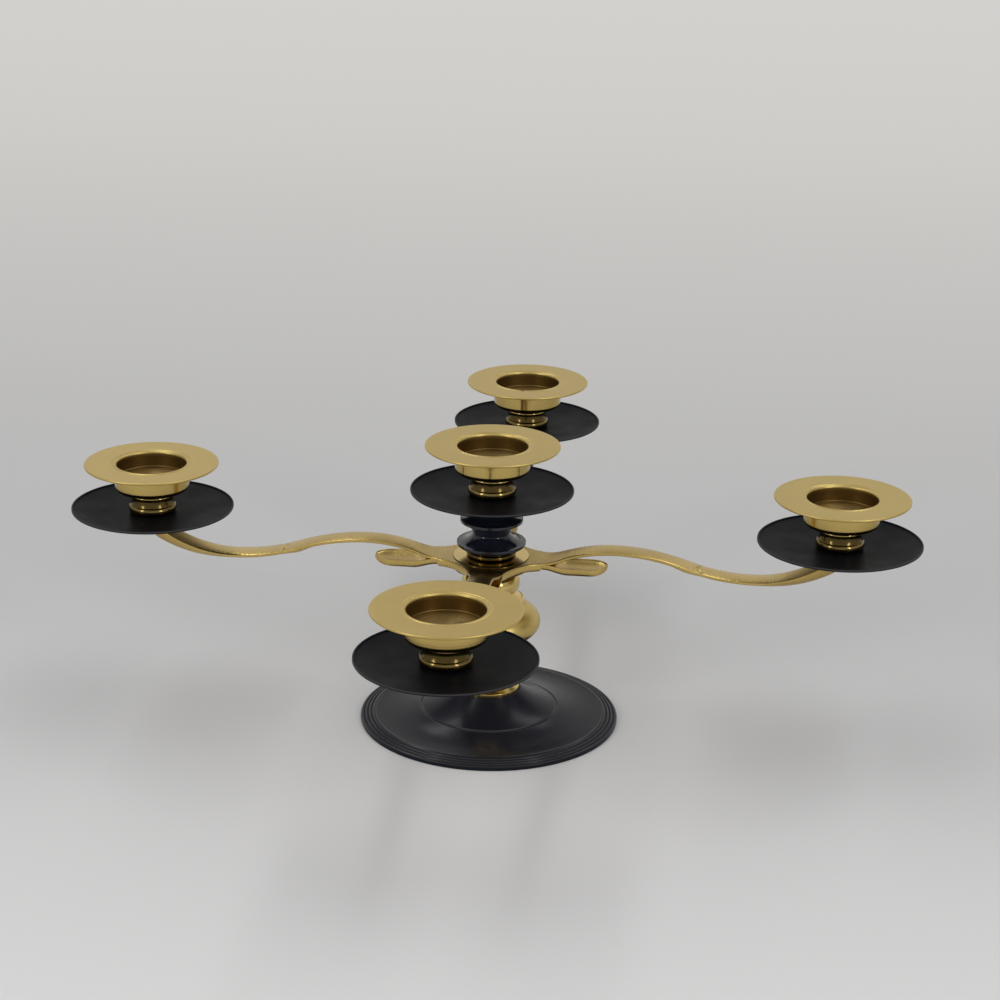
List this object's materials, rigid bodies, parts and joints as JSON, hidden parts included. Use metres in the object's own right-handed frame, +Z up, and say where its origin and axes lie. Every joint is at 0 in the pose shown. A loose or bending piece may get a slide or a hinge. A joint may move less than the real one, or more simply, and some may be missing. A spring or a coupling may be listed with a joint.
{
  "type": "tabletop candelabra",
  "caption": "Tabletop candelabra with S-curved branch arms round a taller centre light, each light a flanged tealight cup over a drip pan, on a round base.",
  "frame": {"origin": "middle of the base's underside", "axes": "+Z up along the column, arms along X and Y, -Y towards the front arm"},
  "size_m": [0.4882, 0.4882, 0.1673],
  "materials": {
    "black_paint": "satin",
    "gloss_black": "gloss",
    "polished_brass": "polished",
    "cup_brass": "satin",
    "arm_brass": "cast and rubbed",
    "steel": "plain"
  },
  "bodies": {
    "stand": {"base": "black_paint", "base_washer": "steel", "base_nut": "steel", "tie_rod": "steel", "column_foot": "polished_brass", "column_knop": "polished_brass", "column_cap": "polished_brass", "collar": "polished_brass", "spool": "gloss_black", "pan_centre": "black_paint"},
    "branches": {"hub": "polished_brass", "arm_right": "arm_brass", "arm_back": "arm_brass", "arm_left": "arm_brass", "arm_front": "arm_brass", "stud_right": "steel", "stud_back": "steel", "stud_left": "steel", "stud_front": "steel", "pan_right": "black_paint", "pan_back": "black_paint", "pan_left": "black_paint", "pan_front": "black_paint"},
    "light_centre": {"stem_centre": "polished_brass", "cup_centre": "cup_brass"},
    "light_right": {"stem_right": "polished_brass", "cup_right": "cup_brass"},
    "light_back": {"stem_back": "polished_brass", "cup_back": "cup_brass"},
    "light_left": {"stem_left": "polished_brass", "cup_left": "cup_brass"},
    "light_front": {"stem_front": "polished_brass", "cup_front": "cup_brass"}
  },
  "joints": [
    {"name": "branches_turn", "type": "hinge", "parent": "stand", "child": "branches", "pos_m": [0, 0, 0.0978], "axis": [0, 0, 1], "continuous": true},
    {"name": "cup_centre_turn", "type": "hinge", "parent": "stand", "child": "light_centre", "pos_m": [0, 0, 0.1622], "axis": [0, 0, 1], "continuous": true},
    {"name": "cup_right_turn", "type": "hinge", "parent": "branches", "child": "light_right", "pos_m": [0.1975, 0, 0.1414], "axis": [0, 0, 1], "continuous": true},
    {"name": "cup_back_turn", "type": "hinge", "parent": "branches", "child": "light_back", "pos_m": [0, 0.1975, 0.1414], "axis": [0, 0, 1], "continuous": true},
    {"name": "cup_left_turn", "type": "hinge", "parent": "branches", "child": "light_left", "pos_m": [-0.1975, 0, 0.1414], "axis": [0, 0, 1], "continuous": true},
    {"name": "cup_front_turn", "type": "hinge", "parent": "branches", "child": "light_front", "pos_m": [0, -0.1975, 0.1414], "axis": [0, 0, 1], "continuous": true}
  ]
}
